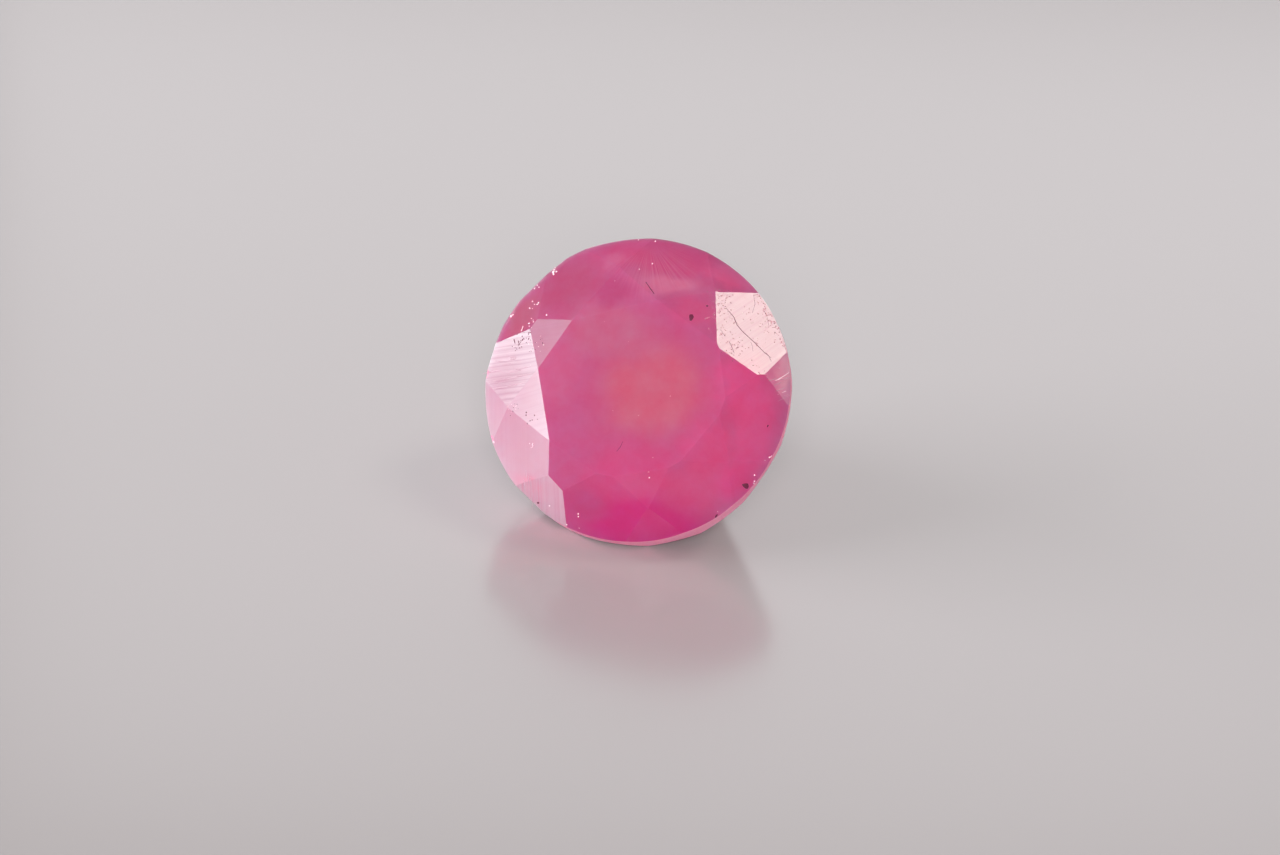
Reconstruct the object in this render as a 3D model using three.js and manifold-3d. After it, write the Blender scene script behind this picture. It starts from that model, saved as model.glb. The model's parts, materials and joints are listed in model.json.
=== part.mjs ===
// A round pink sapphire, cut by hand in the brilliant manner: a flat table ringed by three tiers of crown
// facets, a thick unpolished girdle, and a bulging pavilion that runs down to a blunt, off-centre culet.
// It is one piece of corundum. It lies on one broad pavilion facet, so its table leans towards -Y.

import * as THREE from "three";
import { mergeVertices } from "three/addons/utils/BufferGeometryUtils.js";
import Module from "manifold-3d";

const wasm = await Module();
wasm.setup();

// Driving dimensions, in millimetres and degrees. While the stone is cut its axis is +Z, the table is on top
// and Z = 0 is the girdle plane, where the crown facets meet the girdle.
const GIRDLE_DIAMETER = 6.5;
const CROWN_HEIGHT = 0.8;
const CULET_DEPTH = 4.47;
const CULET_OFFSET = 0.66; // the culet sits off the axis, on the side away from the resting facet
const CULET_BLUNTING = 0.04; // height lost from the sharp point where the culet facets would meet
const RESTING_ANGLE = 50.7; // slope of the pavilion facet that the stone lies on
const BREAK_ANGLE = 68; // slope of the narrow facets where the pavilion meets the girdle
const GIRDLE_SIDES = 144;
const CHIP_DETAIL = 2; // how finely a chip's scoop is faceted
const LAP_SIZE = 4 * GIRDLE_DIAMETER; // a lap is far wider than the stone that it grinds
const STONE_COLOUR = 0xc9507d;

const girdleRadius = GIRDLE_DIAMETER / 2;

// The cutting sheet. A facet's index is its bearing round the axis in degrees, counted from +X towards +Y,
// and its angle is its slope from the girdle plane. The stone was cut by eye, so no tier is quite even.

// Crown tiers: [index, angle, distance from the axis at which the facet crosses the girdle plane].
const BEZELS = [
  [36, 34, 3.14],
  [84, 30, 3.15],
  [130, 29.5, 3.14],
  [177.5, 33.2, 3.155],
  [219, 36.7, 3.115],
  [267, 36, 3.14],
  [309, 36, 3.14],
  [351, 36, 3.14],
];
const UPPER_GIRDLE_FACETS = [
  [10, 45, 3.175],
  [59, 41, 3.14],
  [107, 38, 3.12],
  [154, 41.2, 3.045],
  [198.5, 44.2, 3.125],
  [239, 43, 3.12],
  [287, 44, 3.15],
  [330, 44, 3.15],
];

// Star facets: [index, angle, distance of the table's edge from the axis].
const STARS = [
  [17, 24, 1.94],
  [62, 19, 1.68],
  [112, 18, 1.51],
  [155, 21.4, 1.73],
  [200, 23, 1.835],
  [245, 26, 1.96],
  [288, 25, 1.96],
  [330, 25, 1.95],
];

// Pavilion mains, about an eighth of a turn apart. The one that the stone lies on, at 270, is the broadest:
// [index, slope near the girdle, thickness of the girdle there, slope near the culet].
const MAINS = [
  [0, 55, 0.34, 44],
  [45, 57, 0.42, 46],
  [90, 61, 0.65, 48],
  [135, 58, 0.82, 44],
  [180, 51, 0.96, 37],
  [220, 51, 1.03, 32],
  [270, RESTING_ANGLE, 0.68, 34],
  [322, 54, 0.56, 33],
];

// Narrow breaks at the girdle, between the mains and along the foot of the resting facet: [index, thickness of
// the girdle there].
const BREAKS = [
  [22.5, 0.34],
  [67.5, 0.52],
  [112.5, 0.72],
  [157.5, 0.9],
  [202.5, 0.88],
  [247.5, 0.9],
  [270, 0.56],
  [292.5, 0.66],
  [337.5, 0.3],
];

// Flats ground on the round girdle: [index, distance from the axis].
const GIRDLE_FLATS = [
  [140, 3.18],
  [173, 3.205],
  [236, 3.22],
];

// Shell-shaped chips broken out of the girdle: [index, height, radius of the scoop, depth of the scoop].
const CHIPS = [
  [136, 0.02, 0.22, 0.05],
  [149, 0.01, 0.16, 0.05],
  [164, 0.02, 0.2, 0.04],
  [183, 0.02, 0.16, 0.07],
  [208, 0.03, 0.18, 0.07],
  [216, 0.01, 0.12, 0.05],
  [196, -0.8, 0.3, 0.06],
];

const radians = THREE.MathUtils.degToRad;

// A closed three.js geometry as a solid that can be joined and cut.
function solidOf(geometry) {
  const bare = geometry.clone();
  bare.deleteAttribute("normal");
  bare.deleteAttribute("uv");
  const merged = mergeVertices(bare);
  return new wasm.Manifold(
    new wasm.Mesh({
      numProp: 3,
      vertProperties: merged.attributes.position.array,
      triVerts: new Uint32Array(merged.index.array),
    }),
  );
}

function geometryOf(solid) {
  const mesh = solid.getMesh();
  const geometry = new THREE.BufferGeometry();
  geometry.setAttribute("position", new THREE.BufferAttribute(mesh.vertProperties, 3));
  geometry.setIndex(new THREE.BufferAttribute(mesh.triVerts, 1));
  geometry.computeVertexNormals();
  return geometry;
}

// The unit vector along a bearing in the girdle plane.
function bearing(index) {
  return new THREE.Vector3(Math.cos(radians(index)), Math.sin(radians(index)), 0);
}

// Takes away all of the stone beyond the plane through a point, as a flat lap would. The lap is a box with
// one face on that plane.
function grind(stone, normal, point) {
  const lap = new THREE.BoxGeometry(LAP_SIZE, LAP_SIZE, LAP_SIZE);
  lap.translate(0, 0, LAP_SIZE / 2);
  const facing = new THREE.Quaternion().setFromUnitVectors(new THREE.Vector3(0, 0, 1), normal);
  lap.applyQuaternion(facing);
  lap.translate(point.x, point.y, point.z);
  return stone.subtract(solidOf(lap));
}

function grindCrown(stone, index, angle, reach, height) {
  const normal = bearing(index).multiplyScalar(Math.sin(radians(angle)));
  normal.z = Math.cos(radians(angle));
  const point = bearing(index).multiplyScalar(reach);
  point.z = height;
  return grind(stone, normal, point);
}

function grindPavilion(stone, index, angle, point) {
  const normal = bearing(index).multiplyScalar(Math.sin(radians(angle)));
  normal.z = -Math.cos(radians(angle));
  return grind(stone, normal, point);
}

// The point on the girdle's wall at a bearing, a given thickness below the girdle plane.
function girdleEdge(index, thickness) {
  const point = bearing(index).multiplyScalar(girdleRadius);
  point.z = -thickness;
  return point;
}

function cutCrown(rough) {
  let stone = grind(rough, new THREE.Vector3(0, 0, 1), new THREE.Vector3(0, 0, CROWN_HEIGHT));
  for (const [index, angle, reach] of [...BEZELS, ...UPPER_GIRDLE_FACETS]) {
    stone = grindCrown(stone, index, angle, reach, 0);
  }
  for (const [index, angle, reach] of STARS) {
    stone = grindCrown(stone, index, angle, reach, CROWN_HEIGHT);
  }
  return stone;
}

function cutPavilion(rough) {
  const culet = new THREE.Vector3(0, CULET_OFFSET, -CULET_DEPTH);
  let stone = rough;
  for (const [index, girdleSlope, thickness, culetSlope] of MAINS) {
    stone = grindPavilion(stone, index, girdleSlope, girdleEdge(index, thickness));
    stone = grindPavilion(stone, index, culetSlope, culet);
  }
  for (const [index, thickness] of BREAKS) {
    stone = grindPavilion(stone, index, BREAK_ANGLE, girdleEdge(index, thickness));
  }
  const blunted = culet.clone().add(new THREE.Vector3(0, 0, CULET_BLUNTING));
  return grind(stone, new THREE.Vector3(0, 0, -1), blunted);
}

function wearGirdle(cut) {
  let stone = cut;
  for (const [index, reach] of GIRDLE_FLATS) {
    stone = grind(stone, bearing(index), bearing(index).multiplyScalar(reach));
  }
  for (const [index, height, radius, depth] of CHIPS) {
    const scoop = new THREE.IcosahedronGeometry(radius, CHIP_DETAIL);
    const centre = bearing(index).multiplyScalar(girdleRadius + radius - depth);
    scoop.translate(centre.x, centre.y, height);
    stone = stone.subtract(solidOf(scoop));
  }
  return stone;
}

// The rough is a plain round preform, longer than the finished stone at both ends.
const roughLength = 2 * (CULET_DEPTH + CROWN_HEIGHT);
const preform = new THREE.CylinderGeometry(girdleRadius, girdleRadius, roughLength, GIRDLE_SIDES);
preform.rotateX(Math.PI / 2);
const cutStone = wearGirdle(cutPavilion(cutCrown(solidOf(preform))));

const corundum = new THREE.MeshStandardMaterial({
  color: STONE_COLOUR,
  roughness: 0.12,
  metalness: 0,
});
const gemstone = new THREE.Mesh(geometryOf(cutStone), corundum);
gemstone.name = "pink_sapphire";

// The stone is laid down by tilting it about X until the resting facet faces straight down. The origin is
// under the middle of the laid stone, on the surface that it lies on.
gemstone.rotation.x = radians(RESTING_ANGLE);
const extent = new THREE.Box3().setFromObject(gemstone, true);
const middle = extent.getCenter(new THREE.Vector3());
gemstone.position.set(-middle.x, -middle.y, -extent.min.z);

const part = new THREE.Group();
part.add(gemstone);

export default part;
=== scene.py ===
import json
import math
import random

import bmesh
import bpy
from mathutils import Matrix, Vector
from mathutils.bvhtree import BVHTree


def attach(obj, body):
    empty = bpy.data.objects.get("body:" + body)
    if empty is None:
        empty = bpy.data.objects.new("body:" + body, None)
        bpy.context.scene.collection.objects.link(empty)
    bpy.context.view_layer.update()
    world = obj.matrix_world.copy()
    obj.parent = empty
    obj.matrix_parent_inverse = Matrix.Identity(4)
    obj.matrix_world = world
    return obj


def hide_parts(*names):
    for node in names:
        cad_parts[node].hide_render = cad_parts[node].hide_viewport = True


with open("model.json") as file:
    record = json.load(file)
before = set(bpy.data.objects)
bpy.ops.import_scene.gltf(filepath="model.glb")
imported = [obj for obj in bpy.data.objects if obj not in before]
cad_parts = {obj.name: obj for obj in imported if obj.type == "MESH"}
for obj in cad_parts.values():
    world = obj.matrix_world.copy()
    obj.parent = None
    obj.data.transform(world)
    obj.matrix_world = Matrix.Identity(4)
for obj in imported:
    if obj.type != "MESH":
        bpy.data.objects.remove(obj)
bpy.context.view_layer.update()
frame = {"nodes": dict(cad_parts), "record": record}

# The cut stone. It is one crystal of pink corundum, cloudy with silk, ground and polished by hand on flat
# laps. Its girdle was left as it came from the grinding wheel, and its facet edges are a little worn.
MM = 0.001
CROWN_HEIGHT = 0.8 * MM
WELD_DISTANCE = 0.0005 * MM
FLAT_ANGLE = math.radians(0.4)  # faces that turn less than this from each other are one facet
EDGE_WEAR = 0.009 * MM  # width of the worn edge between two facets
LEAST_WORN_EDGE = 0.12 * MM
LEAST_FACET = 0.02 * MM * MM
WALL_LEAN = 0.3  # how far a face of the girdle wall may lean, as the height of its normal
LEVEL_FACET = 0.09  # sine of the slope below which a facet has no level direction of its own
RIM_RADIUS = 3.0 * MM
GIRDLE_SMOOTHING = math.radians(6)

table_mount = next(mount for mount in frame["record"]["mounts"] if mount["name"] == "table")
stone_axis = Vector(table_mount["axis"]).normalized()
level = Vector((1, 0, 0))
uphill = stone_axis.cross(level)
girdle_centre = Vector(table_mount["pos_m"]) - CROWN_HEIGHT * stone_axis


def on_stone(x, y, z):
    """A point given in millimetres from the girdle's centre: level, uphill and along the stone's axis."""
    return girdle_centre + MM * (x * level + y * uphill + z * stone_axis)


def facet_normal(index, angle):
    """The outward normal of a crown facet from its bearing round the axis and its slope, in degrees."""
    bearing = math.radians(index)
    slope = math.radians(angle)
    outward = math.cos(bearing) * level + math.sin(bearing) * uphill
    return math.sin(slope) * outward + math.cos(slope) * stone_axis


# Facets that show how they were polished: bearing, slope, turn of the polishing lines from the facet's level
# direction (all in degrees), depth of the lines, haze, painted shade (how far the crystal's colour behind
# the facet is darkened to stand in for the dark that shows through it), and gloss.
# The other crown facets have lost most of their gloss, and the pavilion has kept it.
POLISH_MARKS = (
    (177.5, 33.2, 98, 0.4, 0.35, 0.8, 1),  # left bezel
    (200, 23, 90, 0.15, 0.26, 0.6, 1),  # left star
    (155, 21.4, 124, 0.2, 0.19, 0.24, 1),  # upper left star
    (219, 36.7, 141, 0.1, 0.32, 0.2, 1),  # lower left bezel
    (198.5, 44.2, 166, 0.15, 0.44, 0.28, 1),  # left girdle facet
    (239, 43, 117, 0.3, 0.7, 0.0, 1),  # lower left girdle facet
    (36, 34, 105, 0.3, 0.155, 0.45, 1),  # right bezel
    (10, 45, 115, 0.3, 0.06, 0.0, 0.7),  # right girdle facet
    (84, 30, 118, 0.2, 0.0, 0.0, 0.7),  # top bezel
    (130, 29.5, 90, 0.1, 0.0, 0.0, 0.7),  # upper left bezel
    (62, 19, 90, 0.08, 0.0, 0.0, 0.5),  # upper right star
    (287, 44, 90, 0.08, 0.0, 0.0, 0.12),  # bottom girdle facet
)
CROWN_POLISH = (90, 0.08, 0.0, 0.0, 0.25)
PAVILION_POLISH = (90, 0.08, 0.0, 0.0, 1)
SAME_FACET = math.cos(math.radians(1.5))


def lap_direction(normal, turn):
    """The way that a facet's polishing lines run, at a turn in degrees from its level direction."""
    along_girdle = stone_axis.cross(normal)
    if along_girdle.length < LEVEL_FACET:
        along_girdle = level.copy()
    along_girdle.normalize()
    up_facet = normal.cross(along_girdle)
    return math.cos(math.radians(turn)) * along_girdle + math.sin(math.radians(turn)) * up_facet


stone_mesh = frame["nodes"]["pink_sapphire"].data.copy()
stone_mesh.name = "cut_stone"
stone_mesh.materials.clear()
stone_form = bmesh.new()
stone_form.from_mesh(stone_mesh)
bmesh.ops.remove_doubles(stone_form, verts=stone_form.verts, dist=WELD_DISTANCE)
bmesh.ops.dissolve_limit(
    stone_form,
    angle_limit=FLAT_ANGLE,
    verts=stone_form.verts,
    edges=stone_form.edges,
    use_dissolve_boundaries=False,
)
facet_edges = [
    edge
    for edge in stone_form.edges
    if edge.calc_length() > LEAST_WORN_EDGE
    and edge.calc_face_angle(0) > GIRDLE_SMOOTHING
    and all(face.calc_area() > LEAST_FACET for face in edge.link_faces)
]
bmesh.ops.bevel(
    stone_form,
    geom=facet_edges,
    offset=EDGE_WEAR,
    segments=2,
    profile=0.5,
    affect="EDGES",
    clamp_overlap=True,
)
stone_form.normal_update()
lap_across = stone_form.faces.layers.float_vector.new("lap_across")
lap_depth = stone_form.faces.layers.float.new("lap_depth")
haziness = stone_form.faces.layers.float.new("haziness")
painted_shade = stone_form.faces.layers.float.new("painted_shade")
shine = stone_form.faces.layers.float.new("shine")
for face in stone_form.faces:
    on_crown = face.normal.dot(stone_axis) > WALL_LEAN
    turn, depth, haze, facet_shade, gloss = CROWN_POLISH if on_crown else PAVILION_POLISH
    for index, angle, *marks in POLISH_MARKS:
        if face.normal.dot(facet_normal(index, angle)) > SAME_FACET:
            turn, depth, haze, facet_shade, gloss = marks
    face[lap_across] = face.normal.cross(lap_direction(face.normal, turn))
    face[lap_depth] = depth
    face[haziness] = haze
    # painted shade: how far this facet's colour is darkened for the dark that shows through it
    face[painted_shade] = facet_shade
    face[shine] = gloss
    from_axis = face.calc_center_median() - girdle_centre
    radius = (from_axis - from_axis.dot(stone_axis) * stone_axis).length
    on_wall = abs(face.normal.dot(stone_axis)) < WALL_LEAN
    on_chip = radius > RIM_RADIUS and face.calc_area() < LEAST_FACET
    face.material_index = int(on_wall or on_chip)
    face.smooth = True
for edge in stone_form.edges:
    beside_facet = any(
        face.material_index == 0 and face.calc_area() > LEAST_FACET for face in edge.link_faces
    )
    edge.smooth = not beside_facet and edge.calc_face_angle(0) < GIRDLE_SMOOTHING
stone_skin = BVHTree.FromBMesh(stone_form)
stone_form.to_mesh(stone_mesh)
stone_form.free()
cut_stone = bpy.data.objects.new("cut_stone", stone_mesh)
bpy.context.scene.collection.objects.link(cut_stone)


def linear(hex_colour):
    """An sRGB hex colour as the linear values that a shader works in."""
    levels = [int(hex_colour[start : start + 2], 16) / 255 for start in (1, 3, 5)]
    return tuple(v / 12.92 if v <= 0.04045 else ((v + 0.055) / 1.055) ** 2.4 for v in levels) + (1.0,)


def add(tree, kind, inputs=None, **settings):
    """Adds a node with its settings, and links or sets its inputs."""
    node = tree.nodes.new(kind)
    for name, value in settings.items():
        setattr(node, name, value)
    for key, value in (inputs or {}).items():
        if isinstance(value, bpy.types.NodeSocket):
            tree.links.new(value, node.inputs[key])
        else:
            node.inputs[key].default_value = value
    return node


# Polished pink corundum. Fine silk makes the crystal cloudy, so light that goes in comes back as a soft even
# pink, and only the hard polished skin is sharp: some facets mirror the light and the rest show the colour.
# So the mirror is the coat's alone, and a black specular tint keeps the cloudy body from adding its own.
CORUNDUM_IOR = 1.77
BODY_PINK = "#dc6ca2"
# Colour zones of the crystal: middle and reach along the three stone directions in mm, colour and weight.
# They are partly the crystal's own uneven pink and partly painted light and shade: a zone's pink is raised
# where its facets catch less light and lowered where they catch more, so that the steps of shade between
# facets even out.
PINK_AND_PAINTED_LIGHT_ZONES = (
    ((0.0, 3.1, 0.2), (3.6, 1.7, 1.4), "#e65d97", 1.0),  # top of the crown
    ((-2.0, 2.0, 0.4), (2.0, 1.6, 1.3), "#d66090", 0.9),  # upper left of the crown
    ((-2.6, 1.1, 0.1), (1.0, 1.0, 0.8), "#d46e8c", 0.8),  # upper left rim
    ((0.5, -0.1, 0.8), (2.1, 1.9, 2.0), "#e67d9b", 1.0),  # middle of the table
    ((-0.6, 1.0, 0.8), (1.9, 1.3, 1.2), "#de7ea4", 0.85),  # upper left of the table
    ((-1.6, -0.1, 0.8), (1.0, 1.6, 1.0), "#e57caa", 0.7),  # left of the table
    ((1.6, 2.6, 0.0), (1.1, 0.7, 0.6), "#ff71aa", 0.95),  # upper right rim
    ((0.45, 2.15, 0.55), (1.3, 0.5, 0.7), "#f289b3", 0.9),  # pale band below the silk
    ((-0.75, 2.6, 0.25), (0.5, 0.6, 0.5), "#ec88b6", 0.6),  # pale patch beside the silk
    ((1.1, 1.6, 0.7), (0.8, 0.6, 0.7), "#ea699f", 0.8),  # upper right of the table
    ((-0.7, 1.84, 0.61), (0.8, 0.7, 0.8), "#d35e94", 0.7),  # deep patch above the table
    ((0.5, -2.1, 0.6), (2.6, 1.6, 1.0), "#ea629d", 0.85),  # foot of the table
    ((2.25, 0.2, 0.5), (1.1, 1.5, 0.9), "#fa64a3", 0.9),  # right of the table
    ((2.5, -0.5, 0.2), (1.4, 2.2, 0.7), "#fa6aa9", 0.9),  # right of the crown
    ((1.95, -1.15, 0.6), (1.1, 1.1, 0.8), "#f167a2", 0.85),  # lower right of the table
    ((1.7, -1.9, 0.3), (1.6, 1.3, 1.0), "#f169a3", 0.9),  # lower right of the crown
    ((2.5, -1.6, 0.1), (0.8, 1.0, 0.6), "#ff60a6", 0.8),  # lower right rim
    ((0.7, -2.9, 0.0), (2.9, 1.4, 1.5), "#ea4295", 1.0),  # deep foot of the crown
    ((-0.95, -1.85, 0.65), (1.1, 0.9, 0.8), "#da6ea4", 0.8),  # lower left of the table
    ((-0.6, -2.6, 0.3), (1.2, 0.7, 0.7), "#d85a98", 0.7),  # lower left of the crown
    ((3.08, 0.8, 0.0), (0.4, 0.7, 0.4), "#ff9cbc", 0.9),  # pale right rim
    ((-1.8, -2.5, 0.05), (0.8, 0.6, 0.6), "#ff3c90", 0.8),  # lower left rim
)
ZONE_WAVER = 0.35  # mm by which the zones' edges wander
WAVER_SIZE = 0.9  # mm from one wander to the next
LINE_SPACING = 0.07  # mm between polishing lines: coarser than real ones, so that they show
CLOUD_SIZE = 0.6  # mm across the soft clouds of silk
CLEAR_TINT = (0.99, 0.7, 0.79, 1.0)  # what multiplies the colour between the clouds
CLOUD_TINT = (1.0, 1.11, 1.06, 1.0)  # and in them
SILK_ROOT = (-0.3, 3.2, 0.0)  # mm, where the streaks of silk fan out from
SILK_ANGLE = 2.6  # degrees from one streak to the next
SILK_PATCH = (0.1, 2.45, 0.4)  # mm, where the streaks show
SILK_REACH = (1.0, 0.8, 0.8)  # mm
SILK_STRENGTH = 0.45
SILK_PINK = "#f7a4c6"
HAZE_PINK = "#ffd3e4"
# The colour of the painted shade behind some facets.
PAINTED_SHADE_PINK = "#5c1a3a"
WORN_PATCH = (-2.8, -0.5, 0.2)  # mm, where handling has dulled the polish, and where less shade is painted behind the facets
WORN_REACH = (1.6, 1.6, 1.6)  # mm
WEAR_DULLING = 0.55  # gloss lost in the middle of the worn patch
WORN_PATCH_SHADE_LOSS = 0.4  # share of the painted shade behind a facet that is left out there
LINE_DULLING = 0.5  # gloss lost along the deepest polishing lines
LINE_RELIEF = 0.004 * MM
SCATTER_REACH = 2.0 * MM  # how far light spreads in the cloudy crystal
SCATTER_SHARES = (0.9, 0.55, 0.62)  # of that reach, for red, green and blue
ABSORBING_PINK = "#e8609a"
ABSORPTION = 1200.0  # per metre

corundum = bpy.data.materials.new("polished_corundum")
corundum.use_nodes = True
tree = corundum.node_tree
tree.nodes.clear()
place = add(tree, "ShaderNodeTexCoord").outputs["Object"]
stone_place = add(
    tree,
    "ShaderNodeMapping",
    {
        "Vector": place,
        "Location": girdle_centre,
        "Rotation": (math.atan2(-stone_axis.y, stone_axis.z), 0, 0),
        "Scale": (MM, MM, MM),
    },
    vector_type="TEXTURE",
).outputs["Vector"]
waver = add(
    tree,
    "ShaderNodeTexNoise",
    {"Vector": stone_place, "Scale": 1 / WAVER_SIZE, "Detail": 3.0, "Roughness": 0.55},
)
centred_waver = add(
    tree,
    "ShaderNodeVectorMath",
    {0: waver.outputs["Color"], 1: (0.5, 0.5, 0.5)},
    operation="SUBTRACT",
).outputs["Vector"]
wavering_place = add(
    tree,
    "ShaderNodeVectorMath",
    {0: centred_waver, 1: (2 * ZONE_WAVER,) * 3, 2: stone_place},
    operation="MULTIPLY_ADD",
).outputs["Vector"]
body_colour = linear(BODY_PINK)
# Each zone's pink, partly the crystal's own and partly painted light and shade, is mixed into the body
# colour.
for middle, reach, zone_pink, weight in PINK_AND_PAINTED_LIGHT_ZONES:
    zone_place = add(
        tree,
        "ShaderNodeMapping",
        {"Vector": wavering_place, "Location": middle, "Scale": reach},
        vector_type="TEXTURE",
    ).outputs["Vector"]
    zone = add(tree, "ShaderNodeTexGradient", {"Vector": zone_place}, gradient_type="QUADRATIC_SPHERE")
    amount = add(
        tree,
        "ShaderNodeMapRange",
        {"Value": zone.outputs["Fac"], "From Max": 0.5, "To Max": weight},
        interpolation_type="SMOOTHSTEP",
    ).outputs["Result"]
    body_colour = add(
        tree,
        "ShaderNodeMix",
        {0: amount, 6: body_colour, 7: linear(zone_pink)},
        data_type="RGBA",
    ).outputs[2]

clouds = add(
    tree,
    "ShaderNodeTexNoise",
    {"Vector": stone_place, "Scale": 1 / CLOUD_SIZE, "Detail": 6.0, "Roughness": 0.66},
)
cloud_amount = add(
    tree,
    "ShaderNodeMapRange",
    {"Value": clouds.outputs["Fac"], "From Min": 0.3, "From Max": 0.7},
).outputs["Result"]
cloud_tint = add(
    tree,
    "ShaderNodeMix",
    {0: cloud_amount, 6: CLEAR_TINT, 7: CLOUD_TINT},
    data_type="RGBA",
).outputs[2]
body_colour = add(
    tree,
    "ShaderNodeMix",
    {0: 1.0, 6: body_colour, 7: cloud_tint},
    data_type="RGBA",
    blend_type="MULTIPLY",
).outputs[2]

silk_place = add(
    tree,
    "ShaderNodeMapping",
    {"Vector": stone_place, "Location": SILK_ROOT},
    vector_type="TEXTURE",
).outputs["Vector"]
silk_bearing = add(
    tree, "ShaderNodeTexGradient", {"Vector": silk_place}, gradient_type="RADIAL"
).outputs["Fac"]
silk = add(
    tree,
    "ShaderNodeTexNoise",
    {"W": silk_bearing, "Scale": 360 / SILK_ANGLE, "Detail": 3.0},
    noise_dimensions="1D",
).outputs["Fac"]
silk_streaks = add(
    tree,
    "ShaderNodeMapRange",
    {"Value": silk, "From Min": 0.4, "From Max": 0.65, "To Max": SILK_STRENGTH},
).outputs["Result"]
silk_patch_place = add(
    tree,
    "ShaderNodeMapping",
    {"Vector": wavering_place, "Location": SILK_PATCH, "Scale": SILK_REACH},
    vector_type="TEXTURE",
).outputs["Vector"]
silk_patch = add(
    tree, "ShaderNodeTexGradient", {"Vector": silk_patch_place}, gradient_type="SPHERICAL"
).outputs["Fac"]
silk_amount = add(
    tree, "ShaderNodeMath", {0: silk_streaks, 1: silk_patch}, operation="MULTIPLY"
).outputs["Value"]
body_colour = add(
    tree,
    "ShaderNodeMix",
    {0: silk_amount, 6: body_colour, 7: linear(SILK_PINK)},
    data_type="RGBA",
).outputs[2]

across = add(tree, "ShaderNodeAttribute", attribute_name="lap_across").outputs["Vector"]
depth = add(tree, "ShaderNodeAttribute", attribute_name="lap_depth").outputs["Fac"]
haze = add(tree, "ShaderNodeAttribute", attribute_name="haziness").outputs["Fac"]
facet_shade = add(tree, "ShaderNodeAttribute", attribute_name="painted_shade").outputs["Fac"]
polish = add(tree, "ShaderNodeAttribute", attribute_name="shine").outputs["Fac"]
line_place = add(
    tree, "ShaderNodeVectorMath", {0: place, 1: across}, operation="DOT_PRODUCT"
).outputs["Value"]
line_count = add(
    tree,
    "ShaderNodeMath",
    {0: line_place, 1: 1 / (LINE_SPACING * MM), 2: waver.outputs["Fac"]},
    operation="MULTIPLY_ADD",
).outputs["Value"]
lines = add(
    tree,
    "ShaderNodeTexNoise",
    {"W": line_count, "Scale": 1.0, "Detail": 4.0, "Roughness": 0.65},
    noise_dimensions="1D",
).outputs["Fac"]
line_relief = add(tree, "ShaderNodeMath", {0: lines, 1: depth}, operation="MULTIPLY").outputs["Value"]
line_amount = add(
    tree,
    "ShaderNodeMapRange",
    {"Value": lines, "From Min": 0.42, "From Max": 0.62},
).outputs["Result"]
stripes = add(tree, "ShaderNodeMath", {0: line_amount, 1: depth}, operation="MULTIPLY").outputs["Value"]

worn_place = add(
    tree,
    "ShaderNodeMapping",
    {"Vector": stone_place, "Location": WORN_PATCH, "Scale": WORN_REACH},
    vector_type="TEXTURE",
).outputs["Vector"]
worn_patch = add(
    tree, "ShaderNodeTexGradient", {"Vector": worn_place}, gradient_type="SPHERICAL"
).outputs["Fac"]
line_dulling = add(
    tree, "ShaderNodeMath", {0: stripes, 1: LINE_DULLING}, operation="MULTIPLY"
).outputs["Value"]
dulling = add(
    tree, "ShaderNodeMath", {0: worn_patch, 1: WEAR_DULLING, 2: line_dulling}, operation="MULTIPLY_ADD"
).outputs["Value"]
gloss = add(
    tree, "ShaderNodeMath", {0: polish, 1: dulling}, operation="SUBTRACT", use_clamp=True
).outputs["Value"]
# Painted shade: on the facets listed in POLISH_MARKS the crystal's colour is darkened towards a deep pink,
# to stand in for the dark that shows through them, and less of it is painted in the worn patch.
painted_shade_kept = add(
    tree, "ShaderNodeMath", {0: worn_patch, 1: -WORN_PATCH_SHADE_LOSS, 2: 1.0}, operation="MULTIPLY_ADD"
).outputs["Value"]
painted_shade_amount = add(tree, "ShaderNodeMath", {0: facet_shade, 1: painted_shade_kept}, operation="MULTIPLY").outputs["Value"]
body_colour = add(
    tree,
    "ShaderNodeMix",
    {0: painted_shade_amount, 6: body_colour, 7: linear(PAINTED_SHADE_PINK)},
    data_type="RGBA",
).outputs[2]
clear_share = add(tree, "ShaderNodeMath", {0: 1.0, 1: stripes}, operation="SUBTRACT").outputs["Value"]
haze_amount = add(tree, "ShaderNodeMath", {0: haze, 1: clear_share}, operation="MULTIPLY").outputs["Value"]
body_colour = add(
    tree,
    "ShaderNodeMix",
    {0: haze_amount, 6: body_colour, 7: linear(HAZE_PINK)},
    data_type="RGBA",
).outputs[2]
skin = add(
    tree,
    "ShaderNodeBump",
    {"Strength": 0.5, "Distance": LINE_RELIEF, "Height": line_relief},
).outputs["Normal"]
shader = add(
    tree,
    "ShaderNodeBsdfPrincipled",
    {
        "Base Color": body_colour,
        "Roughness": 0.45,
        "IOR": CORUNDUM_IOR,
        "Specular IOR Level": 0.0,
        "Specular Tint": (0.0, 0.0, 0.0, 1.0),
        "Subsurface Weight": 0.65,
        "Subsurface Radius": SCATTER_SHARES,
        "Subsurface Scale": SCATTER_REACH,
        "Transmission Weight": 0.5,
        "Coat Weight": gloss,
        "Coat IOR": CORUNDUM_IOR,
        "Coat Roughness": 0.035,
        "Coat Normal": skin,
    },
)
absorption = add(
    tree,
    "ShaderNodeVolumeAbsorption",
    {"Color": linear(ABSORBING_PINK), "Density": ABSORPTION},
)
add(
    tree,
    "ShaderNodeOutputMaterial",
    {"Surface": shader.outputs["BSDF"], "Volume": absorption.outputs["Volume"]},
)

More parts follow.
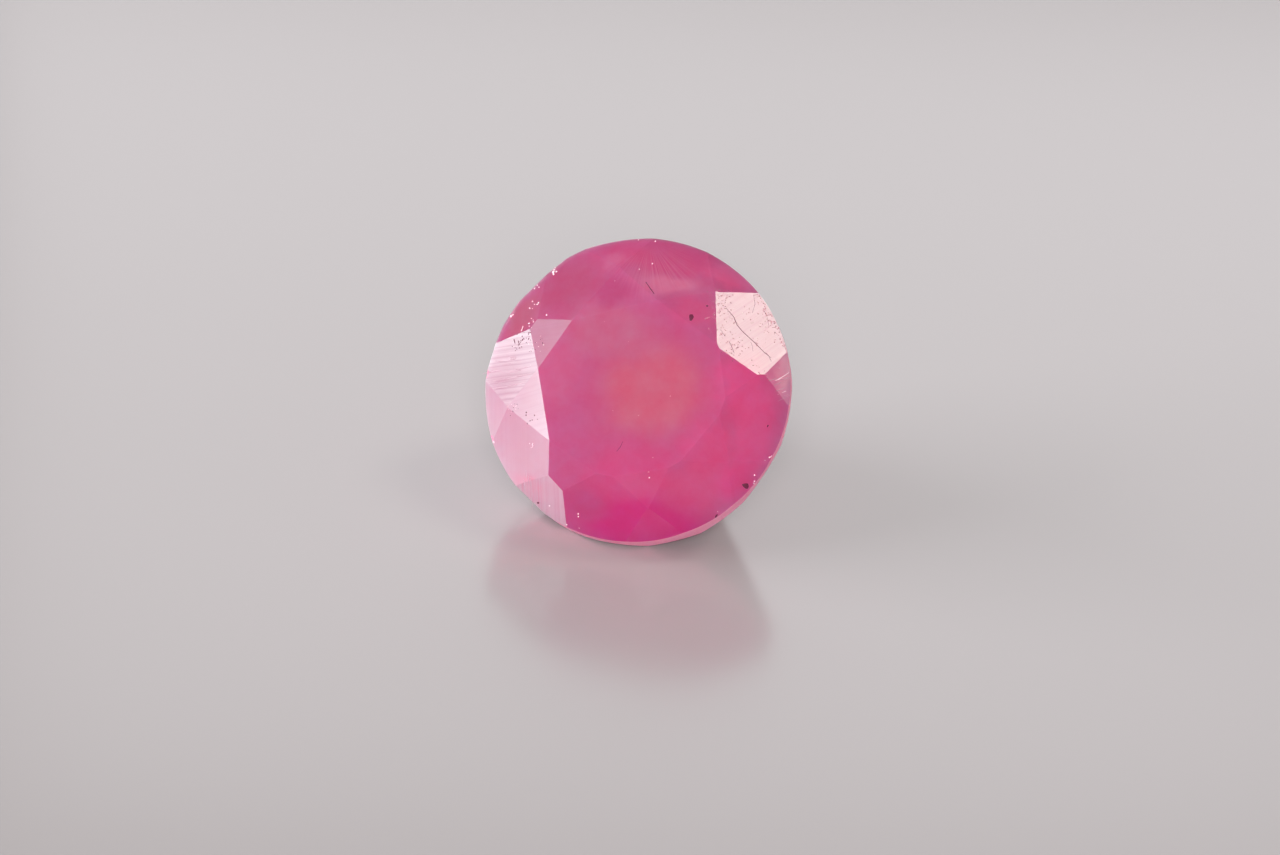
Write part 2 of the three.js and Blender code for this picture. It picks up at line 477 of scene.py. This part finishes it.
# Ground corundum, on the girdle and in its chips. The wheel left it frosted, so it scatters light at its
# skin and looks paler and duller than the polished facets. Its pale pink is also painted lighter because the
# girdle faces down towards the darker floor: painted light.
GRIND_SPACING = 0.05  # mm between grinding marks
GRIND_RELIEF = 0.01 * MM
BARE_PINK = "#ea5c96"
# the frosted pink, also painted lighter for the girdle's dim downward side
FROST_AND_PAINTED_LIGHT_PINK = "#ffb4cc"

ground_corundum = bpy.data.materials.new("ground_corundum")
ground_corundum.use_nodes = True
tree = ground_corundum.node_tree
tree.nodes.clear()
place = add(tree, "ShaderNodeTexCoord").outputs["Object"]
grain = add(
    tree,
    "ShaderNodeTexNoise",
    {"Vector": place, "Scale": 1 / (GRIND_SPACING * MM), "Detail": 4.0, "Roughness": 0.7},
).outputs["Fac"]
frost_and_painted_light = add(
    tree,
    "ShaderNodeMix",
    {0: grain, 6: linear(BARE_PINK), 7: linear(FROST_AND_PAINTED_LIGHT_PINK)},
    data_type="RGBA",
).outputs[2]
grind = add(
    tree, "ShaderNodeBump", {"Strength": 0.6, "Distance": GRIND_RELIEF, "Height": grain}
).outputs["Normal"]
shader = add(
    tree,
    "ShaderNodeBsdfPrincipled",
    {
        "Base Color": frost_and_painted_light,
        "Roughness": 0.5,
        "IOR": CORUNDUM_IOR,
        "Subsurface Weight": 1.0,
        "Subsurface Radius": (1.0, 0.55, 0.65),
        "Subsurface Scale": 0.2 * MM,
        "Normal": grind,
    },
)
add(tree, "ShaderNodeOutputMaterial", {"Surface": shader.outputs["BSDF"]})
stone_mesh.materials.append(corundum)
stone_mesh.materials.append(ground_corundum)
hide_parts("pink_sapphire")
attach(cut_stone, "root")

# Dark crystals. They are small foreign grains that the polish cut through, so they lie in the facets' skin.
# Each is given by its place in mm, its length and width in mm and its turn in the facet in degrees.
GRAIN_THICKNESS = 0.035 * MM
GRAIN_CORNERS = 22
DARK_GRAINS = (
    ((1.04, 1.48, 0.76), 0.18, 0.11, 129),
    ((1.30, 1.80, 0.62), 0.05, 0.04, 0),
    ((2.65, -1.69, 0.01), 0.21, 0.12, 92),
    ((2.91, -0.42, 0.14), 0.06, 0.04, 0),
    ((-1.61, -2.72, -0.03), 0.07, 0.06, 30),
    ((2.15, -2.40, -0.06), 0.1, 0.035, 25),
)


def on_facet(x, y, z):
    """The nearest point of the stone's skin and the skin's normal there."""
    point, normal, *_ = stone_skin.find_nearest(on_stone(x, y, z))
    return point, normal


grain_form = bmesh.new()
grain_dice = random.Random(5)
for middle, length, width, turn in DARK_GRAINS:
    point, normal = on_facet(*middle)
    along = stone_axis.cross(normal).normalized()
    aside = normal.cross(along)
    grain_turn = math.radians(turn)
    long_way = math.cos(grain_turn) * along + math.sin(grain_turn) * aside
    wide_way = math.cos(grain_turn) * aside - math.sin(grain_turn) * along
    corners = []
    for _ in range(GRAIN_CORNERS):
        corner = Vector([grain_dice.gauss(0, 1) for _ in range(3)]).normalized()
        corners.append(
            grain_form.verts.new(
                point
                + corner.x * length / 2 * MM * long_way
                + corner.y * width / 2 * MM * wide_way
                + corner.z * GRAIN_THICKNESS / 2 * normal
            )
        )
    hull = bmesh.ops.convex_hull(grain_form, input=corners)
    inner = [item for item in hull["geom_interior"] if isinstance(item, bmesh.types.BMVert)]
    bmesh.ops.delete(grain_form, geom=inner, context="VERTS")
bmesh.ops.recalc_face_normals(grain_form, faces=grain_form.faces)
grain_mesh = bpy.data.meshes.new("dark_crystals")
grain_form.to_mesh(grain_mesh)
grain_form.free()
dark_crystals = bpy.data.objects.new("dark_crystals", grain_mesh)
bpy.context.scene.collection.objects.link(dark_crystals)

# Dark oxide. The grains and the dirt that fills the cracks are nearly black, and so are the black pits; all
# of them redden in spots where the stone shines through.
OXIDE_MOTTLE = 0.03  # mm from one spot to the next

dark_oxide = bpy.data.materials.new("dark_oxide")
dark_oxide.use_nodes = True
tree = dark_oxide.node_tree
tree.nodes.clear()
place = add(tree, "ShaderNodeTexCoord").outputs["Object"]
mottle = add(
    tree, "ShaderNodeTexNoise", {"Vector": place, "Scale": 1 / (OXIDE_MOTTLE * MM), "Detail": 2.0}
).outputs["Fac"]
oxide_colour = add(
    tree,
    "ShaderNodeMix",
    {0: mottle, 6: linear("#34081c"), 7: linear("#7d1845")},
    data_type="RGBA",
).outputs[2]
shader = add(tree, "ShaderNodeBsdfPrincipled", {"Base Color": oxide_colour, "Roughness": 0.6})
add(tree, "ShaderNodeOutputMaterial", {"Surface": shader.outputs["BSDF"]})
grain_mesh.materials.append(dark_oxide)
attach(dark_crystals, "root")

# Cracks and needles. A fine crack runs across one bezel facet with shorter ones beside it, and two thin
# needles of another mineral reach the skin. Each is a dark thread: the points that it follows, and its
# thickness, in mm.
CRACKS = (
    (
        (
            (1.67, 1.85, 0.47),
            (1.86, 1.69, 0.43),
            (1.96, 1.53, 0.44),
            (2.08, 1.42, 0.41),
            (2.38, 1.23, 0.33),
            (2.61, 1.06, 0.27),
            (2.74, 0.99, 0.22),
        ),
        0.013,
    ),
    (((2.6, 1.08, 0.26), (2.67, 1.02, 0.21), (2.75, 0.89, 0.21)), 0.007),
    (((2.11, 2.29, 0.01), (2.18, 2.1, 0.05), (2.17, 1.87, 0.14)), 0.007),
    (((2.36, 2.05, 0.0), (2.48, 1.88, 0.01), (2.54, 1.69, 0.02)), 0.005),
    (((1.65, 1.33, 0.65), (1.71, 1.28, 0.64), (1.77, 1.2, 0.63)), 0.008),
    (((1.87, 1.11, 0.61), (1.94, 1.02, 0.61), (2.02, 0.88, 0.62)), 0.009),
    (((2.28, 1.22, 0.35), (2.33, 1.14, 0.36), (2.36, 1.02, 0.38)), 0.005),
    (((-0.07, 2.13, 0.6), (0.05, 2.0, 0.66), (0.18, 1.87, 0.73)), 0.018),
    (((0.02, -1.52, 0.8), (0.08, -1.42, 0.8), (0.11, -1.3, 0.8)), 0.008),
)
THREAD_END = 0.4  # thickness that a thread tapers towards, as a share of its thickest


def lay_threads(name, threads, material):
    """Lays thin threads on the stone's skin, each thickest in its middle, and returns their object."""
    path = bpy.data.curves.new(name, "CURVE")
    path.dimensions = "3D"
    path.bevel_depth = 1.0
    path.bevel_resolution = 1
    path.use_fill_caps = True
    for points, thickness in threads:
        thread = path.splines.new("POLY")
        thread.points.add(len(points) - 1)
        for step, place_on_stone in enumerate(points):
            swell = THREAD_END + (1 - THREAD_END) * math.sin(math.pi * (step + 0.5) / len(points))
            thread.points[step].co = (*on_facet(*place_on_stone)[0], 1)
            thread.points[step].radius = swell * thickness / 2 * MM
    path_object = bpy.data.objects.new("thread_path", path)
    bpy.context.scene.collection.objects.link(path_object)
    thread_mesh = bpy.data.meshes.new_from_object(
        path_object.evaluated_get(bpy.context.evaluated_depsgraph_get())
    )
    bpy.data.objects.remove(path_object)
    thread_mesh.name = name
    thread_mesh.materials.clear()
    thread_mesh.materials.append(material)
    thread_object = bpy.data.objects.new(name, thread_mesh)
    bpy.context.scene.collection.objects.link(thread_object)
    return thread_object


fine_cracks = lay_threads("fine_cracks", CRACKS, dark_oxide)
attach(fine_cracks, "root")

# Small marks in the crown's skin: pale pinpoint crystals and frosted nicks, white dots along the rim that
# are partly chips and partly painted highlights, pits, pits coloured nearly black, and scratches. They lie
# in loose
# clusters: middle and reach in mm, marks per square mm, and half a mark's width in mm.
PINPOINTS_AND_RIM_GLINTS = (
    ((-2.41, 1.4, 0.2), 0.2, 120, 0.03),
    ((-2.38, 0.95, 0.39), 0.18, 200, 0.02),
    ((-2.05, 1.12, 0.5), 0.12, 160, 0.026),
    ((-2.07, 0.5, 0.63), 0.3, 90, 0.017),
    ((-2.38, -0.88, 0.48), 0.16, 120, 0.011),
    ((0.5, -1.8, 0.8), 0.6, 12, 0.022),
    ((-1.85, -1.62, 0.5), 0.09, 500, 0.02),
    ((-0.2, 3.0, 0.1), 0.9, 7, 0.028),
    ((-1.75, 0.02, 0.8), 0.06, 300, 0.022),
    ((-1.8, -0.23, 0.8), 0.07, 300, 0.02),
    ((0, 0, 0.8), 3.4, 1.3, 0.014),
    # From here on the clusters lie along the rim: their white dots are partly chips and partly painted
    # highlights that stand in for the glints along the rim's edge.
    ((-2.22, 2.21, 0.0), 0.14, 240, 0.03),
    ((-2.52, 1.83, 0.0), 0.14, 240, 0.03),
    ((-2.97, 1.25, -0.1), 0.12, 260, 0.035),
    ((-2.66, -1.91, -0.1), 0.12, 260, 0.035),
    ((-2.87, -1.57, -0.12), 0.12, 260, 0.035),
    ((3.05, -1.05, -0.05), 0.2, 160, 0.02),
    ((2.83, -1.55, -0.09), 0.14, 200, 0.022),
    ((2.24, -2.36, -0.09), 0.14, 200, 0.022),
    ((-1.0, -3.0, -0.1), 0.6, 20, 0.02),
)
PITS = (
    ((1.51, 2.05, 0.44), 0.3, 420, 0.018),
    ((1.55, 1.7, 0.55), 0.4, 260, 0.017),
    ((1.66, 1.3, 0.65), 0.3, 200, 0.017),
    ((1.94, 1.02, 0.61), 0.3, 240, 0.017),
    ((2.08, 1.85, 0.2), 0.3, 110, 0.018),
    ((2.46, 1.79, 0.02), 0.3, 150, 0.018),
    ((2.2, 1.5, 0.3), 1.0, 45, 0.016),
    ((2.58, 0.63, 0.42), 0.25, 220, 0.017),
    ((2.25, 2.24, -0.04), 0.16, 900, 0.02),
    ((2.45, 2.02, -0.06), 0.16, 900, 0.02),
    ((2.62, 1.8, -0.08), 0.16, 900, 0.02),
    ((2.78, 1.6, -0.08), 0.16, 900, 0.02),
    ((2.89, 1.4, -0.06), 0.16, 900, 0.02),
)
# Pits coloured nearly black, like the grains.
BLACK_PITS = (
    ((-2.46, 0.58, 0.42), 0.3, 320, 0.017),
    ((-2.6, 0.43, 0.33), 0.18, 260, 0.016),
    ((-2.19, 0.51, 0.58), 0.28, 160, 0.014),
    ((-2.38, -0.88, 0.48), 0.2, 200, 0.013),
    ((-1.92, -1.06, 0.64), 0.22, 340, 0.017),
    ((2.1, 1.07, 0.5), 0.14, 400, 0.013),
    ((2.68, 1.68, -0.03), 0.4, 60, 0.012),
)
# A group of scratches also has its turn in the facet in degrees, and how many times longer than wide a
# scratch is.
SCRATCHES = (
    ((-2.7, -0.3, 0.3), 0.7, 20, 0.006, 98, 80),
    ((1.75, 1.9, 0.4), 0.3, 60, 0.005, 105, 30),
    ((-1.75, -2.5, 0.08), 0.45, 40, 0.008, 117, 45),
    ((2.95, 0.55, 0.1), 0.5, 40, 0.008, 115, 34),
)
# The longest scratches are laid one by one as threads: dull ones on the left of the crown, and bright ones,
# with a pale needle, on two of its girdle facets.
DULL_SCRATCHES = (
    (((-3.02, -0.34, 0.07), (-2.03, -0.16, 0.72)), 0.012),
    (((-2.95, -0.51, 0.13), (-2.17, -0.36, 0.63)), 0.012),
    (((-2.85, -0.66, 0.2), (-2.35, -0.56, 0.53)), 0.01),
    (((-3.1, 0.12, 0.0), (-2.63, 0.06, 0.32)), 0.009),
)
BRIGHT_SCRATCHES = (
    (((-2.53, 0.87, 0.28), (-2.55, 0.76, 0.34)), 0.03),
    (((2.93, 0.56, 0.13), (3.1, 0.79, -0.08)), 0.015),
    (((2.88, 0.52, 0.18), (3.0, 0.66, 0.04)), 0.012),
    (((2.98, 0.26, 0.13), (3.11, 0.38, -0.02)), 0.016),
)
SQUARE_MM = MM * MM
LEAST_MARK = 0.35  # a mark's width is between these shares of the width given for its cluster
LARGEST_MARK = 1.1
SCRATCH_STRAY = 0.06  # how far a scratch may turn aside, as a share of its length
CROWN_FACING = 0.6  # least height of a crown facet's normal along the stone's axis
SHADE_SIZE = 0.2  # mm from one shade of a mark's colour to the next

crown_form = bmesh.new()
crown_form.from_mesh(stone_mesh)
not_crown = [
    face
    for face in crown_form.faces
    if face.material_index or face.normal.dot(stone_axis) < CROWN_FACING
]
bmesh.ops.delete(crown_form, geom=not_crown, context="FACES")
crown_mesh = bpy.data.meshes.new("crown_skin")
crown_form.to_mesh(crown_mesh)
crown_form.free()


def mark_material(name, deep, pale, roughness):
    """A material for small marks, which shades from one colour to another."""
    material = bpy.data.materials.new(name)
    material.use_nodes = True
    tree = material.node_tree
    tree.nodes.clear()
    place = add(tree, "ShaderNodeTexCoord").outputs["Object"]
    shade = add(
        tree, "ShaderNodeTexNoise", {"Vector": place, "Scale": 1 / (SHADE_SIZE * MM)}
    ).outputs["Fac"]
    colour = add(
        tree, "ShaderNodeMix", {0: shade, 6: linear(deep), 7: linear(pale)}, data_type="RGBA"
    ).outputs[2]
    shader = add(
        tree, "ShaderNodeBsdfPrincipled", {"Base Color": colour, "Roughness": roughness, "IOR": 1.5}
    )
    add(tree, "ShaderNodeOutputMaterial", {"Surface": shader.outputs["BSDF"]})
    return material


# Pale crystal and crushed corundum. They scatter all the light, so they show as small white dots and lines
# on the pink. Along the rim the white dots also stand in for the glints on its edge: painted highlights.
pale_crystal_and_glints = mark_material("pale_crystal_and_glints", "#ffa9c8", "#ffffff", 0.3)

# Open corundum, in the pits. It has no polish, so it shows the deep pink of the crystal on a bright facet.
open_corundum = mark_material("open_corundum", "#b4687e", "#dfa3b0", 0.6)

# Scratched corundum. The crushed skin along a scratch is a dull pale pink, light on a dark facet and dark on
# a bright one.
scratched_corundum = mark_material("scratched_corundum", "#bc8099", "#deb4c4", 0.5)

scatter = bpy.data.node_groups.new("scatter_marks", "GeometryNodeTree")
scatter_inputs = {}
for socket_name, socket_type in (
    ("Skin", "NodeSocketGeometry"),
    ("Middle", "NodeSocketVector"),
    ("Reach", "NodeSocketFloat"),
    ("Density", "NodeSocketFloat"),
    ("Size", "NodeSocketFloat"),
    ("Stretch", "NodeSocketFloat"),
    ("Along", "NodeSocketVector"),
    ("Seed", "NodeSocketInt"),
    ("Material", "NodeSocketMaterial"),
):
    socket = scatter.interface.new_socket(socket_name, in_out="INPUT", socket_type=socket_type)
    scatter_inputs[socket_name] = socket.identifier
scatter.interface.new_socket("Marks", in_out="OUTPUT", socket_type="NodeSocketGeometry")
given = add(scatter, "NodeGroupInput").outputs
away = add(
    scatter,
    "ShaderNodeVectorMath",
    {0: add(scatter, "GeometryNodeInputPosition").outputs["Position"], 1: given["Middle"]},
    operation="DISTANCE",
).outputs["Value"]
spots = add(
    scatter,
    "GeometryNodeDistributePointsOnFaces",
    {"Mesh": given["Skin"], "Density": given["Density"], "Seed": given["Seed"]},
).outputs["Points"]
chance = add(
    scatter, "FunctionNodeRandomValue", {3: given["Reach"], "Seed": given["Seed"]}, data_type="FLOAT"
).outputs[1]
too_far = add(scatter, "ShaderNodeMath", {0: away, 1: chance}, operation="GREATER_THAN").outputs["Value"]
spots = add(
    scatter, "GeometryNodeDeleteGeometry", {"Geometry": spots, "Selection": too_far}, domain="POINT"
).outputs["Geometry"]
uneven = add(
    scatter,
    "FunctionNodeRandomValue",
    {0: (LEAST_MARK,) * 3, 1: (LARGEST_MARK,) * 3, "Seed": given["Seed"]},
    data_type="FLOAT_VECTOR",
).outputs[0]
proportions = add(
    scatter, "ShaderNodeCombineXYZ", {"X": given["Stretch"], "Y": 1.0, "Z": 1.0}
).outputs["Vector"]
mark_shape = add(
    scatter, "ShaderNodeVectorMath", {0: uneven, 1: proportions}, operation="MULTIPLY"
).outputs["Vector"]
mark_scale = add(
    scatter, "ShaderNodeVectorMath", {0: mark_shape, "Scale": given["Size"]}, operation="SCALE"
).outputs["Vector"]
stray = add(
    scatter,
    "FunctionNodeRandomValue",
    {0: (-SCRATCH_STRAY,) * 3, 1: (SCRATCH_STRAY,) * 3, "Seed": given["Seed"]},
    data_type="FLOAT_VECTOR",
).outputs[0]
heading = add(
    scatter, "ShaderNodeVectorMath", {0: given["Along"], 1: stray}, operation="ADD"
).outputs["Vector"]
mark_turn = add(
    scatter, "FunctionNodeAlignRotationToVector", {"Vector": heading}, axis="X"
).outputs["Rotation"]
mark = add(scatter, "GeometryNodeMeshIcoSphere", {"Radius": 1.0, "Subdivisions": 1}).outputs["Mesh"]
marks_laid = add(
    scatter,
    "GeometryNodeInstanceOnPoints",
    {"Points": spots, "Instance": mark, "Scale": mark_scale, "Rotation": mark_turn},
).outputs["Instances"]
marks_made = add(scatter, "GeometryNodeRealizeInstances", {"Geometry": marks_laid}).outputs["Geometry"]
marks_dressed = add(
    scatter, "GeometryNodeSetMaterial", {"Geometry": marks_made, "Material": given["Material"]}
).outputs["Geometry"]
add(scatter, "NodeGroupOutput", {"Marks": marks_dressed})

crown_skin = bpy.data.objects.new("crown_skin", crown_mesh)
bpy.context.scene.collection.objects.link(crown_skin)
for name, material, clusters in (
    ("pinpoints_and_rim_glints", pale_crystal_and_glints, PINPOINTS_AND_RIM_GLINTS),
    ("pits", open_corundum, PITS),
    ("black_pits", dark_oxide, BLACK_PITS),
    ("scratches", scratched_corundum, SCRATCHES),
):
    mark_form = bmesh.new()
    for seed, (middle, reach, per_square_mm, size, *run) in enumerate(clusters):
        turn, stretch = run or (90, 1)
        scattering = crown_skin.modifiers.new("scatter", "NODES")
        scattering.node_group = scatter
        scattering[scatter_inputs["Middle"]] = on_stone(*middle)
        scattering[scatter_inputs["Reach"]] = reach * MM
        scattering[scatter_inputs["Density"]] = per_square_mm / SQUARE_MM
        scattering[scatter_inputs["Size"]] = size * MM
        scattering[scatter_inputs["Stretch"]] = float(stretch)
        scattering[scatter_inputs["Along"]] = lap_direction(on_facet(*middle)[1], turn)
        scattering[scatter_inputs["Seed"]] = seed
        scattering[scatter_inputs["Material"]] = material
        cluster = bpy.data.meshes.new_from_object(
            crown_skin.evaluated_get(bpy.context.evaluated_depsgraph_get())
        )
        mark_form.from_mesh(cluster)
        bpy.data.meshes.remove(cluster)
        crown_skin.modifiers.clear()
    mark_mesh = bpy.data.meshes.new(name)
    mark_form.to_mesh(mark_mesh)
    mark_form.free()
    mark_mesh.materials.append(material)
    marks_in_skin = bpy.data.objects.new(name, mark_mesh)
    bpy.context.scene.collection.objects.link(marks_in_skin)
    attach(marks_in_skin, "root")
bpy.data.objects.remove(crown_skin)
for name, threads, material in (
    ("dull_scratches", DULL_SCRATCHES, scratched_corundum),
    ("bright_scratches", BRIGHT_SCRATCHES, pale_crystal_and_glints),
):
    long_scratches = lay_threads(name, threads, material)
    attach(long_scratches, "root")

# The surface that the stone lies on: a plain pale floor with a polished face, a hair below the resting
# facet.
FLOOR_HALF = 600 * MM
FLOOR_GAP = 0.01 * MM

floor_mesh = bpy.data.meshes.new("floor")
floor_mesh.from_pydata(
    [
        (-FLOOR_HALF, -FLOOR_HALF, -FLOOR_GAP),
        (FLOOR_HALF, -FLOOR_HALF, -FLOOR_GAP),
        (FLOOR_HALF, FLOOR_HALF, -FLOOR_GAP),
        (-FLOOR_HALF, FLOOR_HALF, -FLOOR_GAP),
    ],
    [],
    [(0, 1, 2, 3)],
)
floor = bpy.data.objects.new("floor", floor_mesh)
bpy.context.scene.collection.objects.link(floor)
floor_finish = bpy.data.materials.new("polished_pale_floor")
floor_finish.use_nodes = True
tree = floor_finish.node_tree
tree.nodes.clear()
shader = add(
    tree,
    "ShaderNodeBsdfPrincipled",
    {"Base Color": linear("#a7a3a3"), "Roughness": 0.2, "IOR": 2.0},
)
add(tree, "ShaderNodeOutputMaterial", {"Surface": shader.outputs["BSDF"]})
floor_mesh.materials.append(floor_finish)

# Soft studio light: a bright panel in front beside the camera, two on the left and two on the right that the
# side facets mirror, a dim one behind, and dim air that is paler towards the horizon. Each panel has its
# bearing, height, half-width and half-height in degrees as the stone sees it, its brightness and its tint.
PANEL_DISTANCE = 1000 * MM
AIR_AT_HORIZON = 0.45
AIR_ABOVE = 0.2
AIR_FADE = 0.5  # height, as a sine, at which the air has reached its level above
PANELS = (
    ("left_panel", 193, 18, 22, 13, 7.45, "#fcfaff"),
    ("upper_left_panel", 190, 45, 14, 8, 1.75, "#fcfaff"),
    ("right_panel", 17, 54, 8, 8, 8.0, "#fff6ec"),
    ("low_right_panel", 10, 21, 6, 6, 1.5, "#ffe0e4"),
    ("front_panel", 283, 30, 12, 12, 17.6, "#fffcfc"),
    ("back_panel", 101, 29, 21, 13, 1.2, "#fcfbff"),
)
for name, bearing, height, half_width, half_height, brightness, tint in PANELS:
    around = math.radians(bearing)
    up = math.radians(height)
    towards = Vector((math.cos(around) * math.cos(up), math.sin(around) * math.cos(up), math.sin(up)))
    panel = bpy.data.lights.new(name, "AREA")
    panel.shape = "RECTANGLE"
    panel.size = 2 * PANEL_DISTANCE * math.tan(math.radians(half_width))
    panel.size_y = 2 * PANEL_DISTANCE * math.tan(math.radians(half_height))
    panel.energy = brightness * math.pi * panel.size * panel.size_y
    panel.color = linear(tint)[:3]
    panel_object = bpy.data.objects.new(name, panel)
    panel_object.location = girdle_centre + PANEL_DISTANCE * towards
    panel_object.rotation_euler = towards.to_track_quat("Z", "Y").to_euler()
    panel_object.visible_camera = False
    bpy.context.scene.collection.objects.link(panel_object)

air = bpy.data.worlds.new("studio_air")
air.use_nodes = True
tree = air.node_tree
tree.nodes.clear()
direction = add(tree, "ShaderNodeTexCoord").outputs["Generated"]
height_in_air = add(tree, "ShaderNodeSeparateXYZ", {"Vector": direction}).outputs["Z"]
air_level = add(
    tree,
    "ShaderNodeMapRange",
    {"Value": height_in_air, "From Max": AIR_FADE, "To Min": AIR_AT_HORIZON, "To Max": AIR_ABOVE},
    interpolation_type="SMOOTHSTEP",
).outputs["Result"]
background = add(tree, "ShaderNodeBackground", {"Color": linear("#fdf9f8"), "Strength": air_level})
add(tree, "ShaderNodeOutputWorld", {"Surface": background.outputs["Background"]})
bpy.context.scene.world = air

# The camera stands in front of the stone and a little to its right, and looks down on it.
CAMERA_PLACE = Vector((8.794, -38.104, 23.524)) * MM
CAMERA_TARGET = Vector((-0.6745, 2.5334, 0)) * MM
CAMERA_ROLL = math.radians(2.11)
LENS = 58.25

camera_data = bpy.data.cameras.new("camera")
camera_data.lens = LENS
camera_data.clip_start = 1 * MM
camera_data.clip_end = 2
camera = bpy.data.objects.new("camera", camera_data)
camera.location = CAMERA_PLACE
camera.rotation_euler = (CAMERA_TARGET - CAMERA_PLACE).to_track_quat("-Z", "Y").to_euler()
camera.rotation_euler.rotate_axis("Z", CAMERA_ROLL)
bpy.context.scene.collection.objects.link(camera)
bpy.context.scene.camera = camera
bpy.context.scene.view_settings.view_transform = "Standard"
